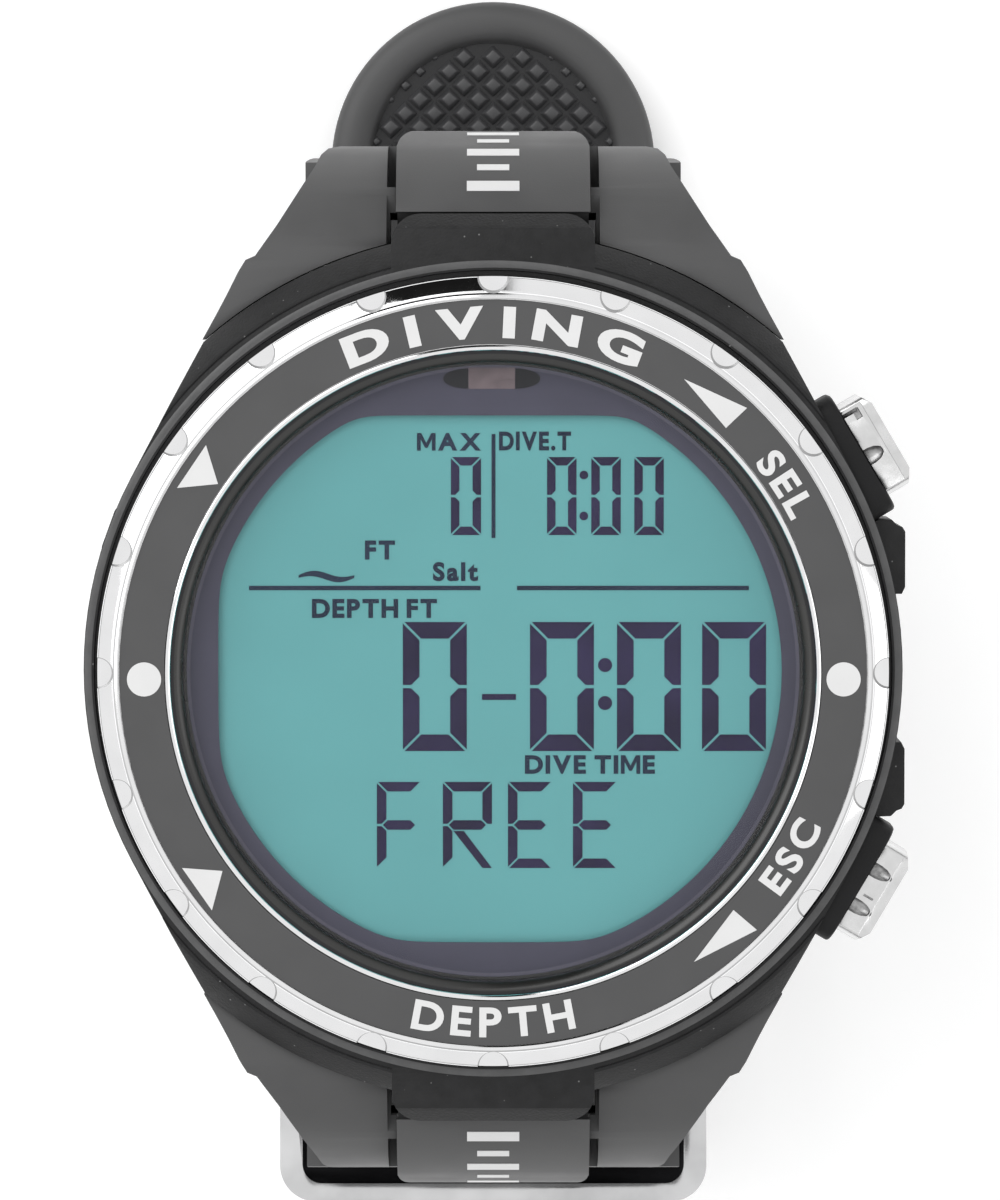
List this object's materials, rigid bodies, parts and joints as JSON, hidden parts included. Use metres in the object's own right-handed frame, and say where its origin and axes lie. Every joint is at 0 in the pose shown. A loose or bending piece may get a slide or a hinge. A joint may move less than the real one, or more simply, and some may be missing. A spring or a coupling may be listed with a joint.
{
  "type": "dive computer",
  "caption": "Round wrist dive computer with steel bezel, side buttons, display under glass and a buckled rubber strap closed in a loop.",
  "frame": {"origin": "centre of the case's flat back face, where it meets the wrist", "axes": "+Z out of the display, +Y to 12 o'clock, +X to 3 o'clock, the side with the buttons"},
  "size_m": [0.0613, 0.0987, 0.0625],
  "materials": {
    "case_plastic": "fine-grained black moulding",
    "guard_rubber": "matt black",
    "polished_steel": "mirror polish",
    "insert_print": "satin dark grey, printed",
    "glass": "polished mineral glass",
    "gasket_rubber": "matt",
    "mask_print": "satin purple grey",
    "lcd": "reflective teal display",
    "backlight": "translucent light guide",
    "chassis_plastic": "natural moulding",
    "board": "solder mask green",
    "switch_plastic": "matt",
    "brass": "bare",
    "sensor_steel": "satin",
    "cover_steel": "circular brushed",
    "screw_steel": "satin",
    "spring_steel": "drawn wire",
    "strap_rubber": "soft matt dark grey"
  },
  "bodies": {
    "case": {"case_body": "case_plastic", "back_cover": "cover_steel", "back_gasket": "gasket_rubber", "back_screws": "screw_steel", "bezel_ring": "polished_steel", "bezel_insert": "insert_print", "crystal": "glass", "crystal_gasket": "gasket_rubber", "display_mask": "mask_print", "lcd_panel": "lcd", "backlight_panel": "backlight", "display_chassis": "chassis_plastic", "circuit_board": "board", "side_switches": "switch_plastic", "piezo_buzzer": "brass", "pressure_sensor": "sensor_steel", "battery_tray": "chassis_plastic", "battery_contact": "brass", "coin_battery": "sensor_steel", "button_guard_upper": "guard_rubber", "button_guard_lower": "guard_rubber", "button_spring_upper": "spring_steel", "button_spring_lower": "spring_steel", "strap_pin_12": "screw_steel", "strap_pin_6": "screw_steel", "short_strap": "strap_rubber", "long_strap": "strap_rubber", "buckle_pin": "screw_steel", "fixed_keeper": "strap_rubber"},
    "button_upper": {"button_upper": "polished_steel", "button_oring_upper": "gasket_rubber", "button_clip_upper": "spring_steel"},
    "button_lower": {"button_lower": "polished_steel", "button_oring_lower": "gasket_rubber", "button_clip_lower": "spring_steel"},
    "battery_cap": {"battery_cap": "cover_steel", "battery_cap_oring": "gasket_rubber"},
    "buckle_frame": {"buckle_frame": "polished_steel"},
    "buckle_prong": {"buckle_prong": "polished_steel"},
    "free_keeper": {"free_keeper": "strap_rubber"}
  },
  "joints": [
    {"name": "upper_button_press", "type": "slide", "parent": "case", "child": "button_upper", "axis": [-0.8616, -0.5075, 0], "range_m": [0, 0.00075], "stiffness_N_per_m": 1200, "springref_m": -0.0008, "deforming": ["button_spring_upper"]},
    {"name": "lower_button_press", "type": "slide", "parent": "case", "child": "button_lower", "axis": [-0.8616, 0.5075, 0], "range_m": [0, 0.00075], "stiffness_N_per_m": 1200, "springref_m": -0.0008, "deforming": ["button_spring_lower"]},
    {"name": "battery_cap_turn", "type": "hinge", "parent": "case", "child": "battery_cap", "pos_m": [0, 0, 0.002], "axis": [0, 0, -1], "range_deg": [0, 60]},
    {"name": "buckle_frame_hinge", "type": "hinge", "parent": "case", "child": "buckle_frame", "pos_m": [0, -0.024, -0.0386], "axis": [1, 0, 0], "range_deg": [0, 20]},
    {"name": "buckle_prong_hinge", "type": "hinge", "parent": "buckle_frame", "child": "buckle_prong", "pos_m": [0, -0.024, -0.0386], "axis": [1, 0, 0], "range_deg": [0, 30]},
    {"name": "free_keeper_slide", "type": "slide", "parent": "case", "child": "free_keeper", "axis": [0, 1, 0], "range_m": [-0.003, 0.003]}
  ]
}
